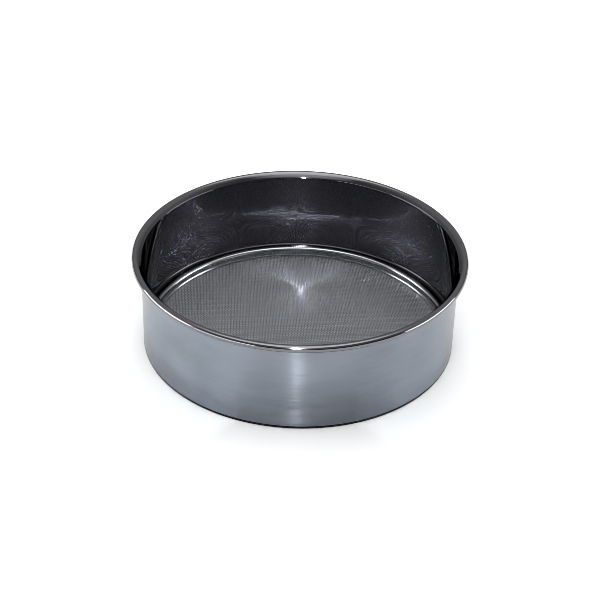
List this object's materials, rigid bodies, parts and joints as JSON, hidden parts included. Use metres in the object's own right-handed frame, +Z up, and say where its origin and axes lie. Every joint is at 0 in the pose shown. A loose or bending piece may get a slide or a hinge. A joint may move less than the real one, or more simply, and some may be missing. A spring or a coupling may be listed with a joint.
{
  "type": "soil sieve",
  "caption": "Round stainless steel soil sieve: a sheet-metal hoop with a rolled rim, and a fine woven wire screen in a channel ring that lifts out of it.",
  "frame": {"origin": "centre of the base, on the surface that the sieve stands on", "axes": "+Z up along the hoop's axis, out of the open top; +Y away from the viewer when the hoop's seam is on the right and a little behind; +X right"},
  "size_m": [0.3, 0.3, 0.09],
  "materials": {
    "hoop_steel": "satin outside, mirror-polished inside and on the rolled rim",
    "ring_steel": "polished stainless steel",
    "mesh_wire": "bright drawn stainless wire"
  },
  "bodies": {
    "hoop": {"side_wall": "hoop_steel"},
    "screen": {"screen_ring": "ring_steel", "mesh_cloth": "mesh_wire"}
  },
  "joints": [
    {"name": "screen_lift", "type": "slide", "parent": "hoop", "child": "screen", "axis": [0, 0, 1], "range_m": [0, 0.1]}
  ]
}
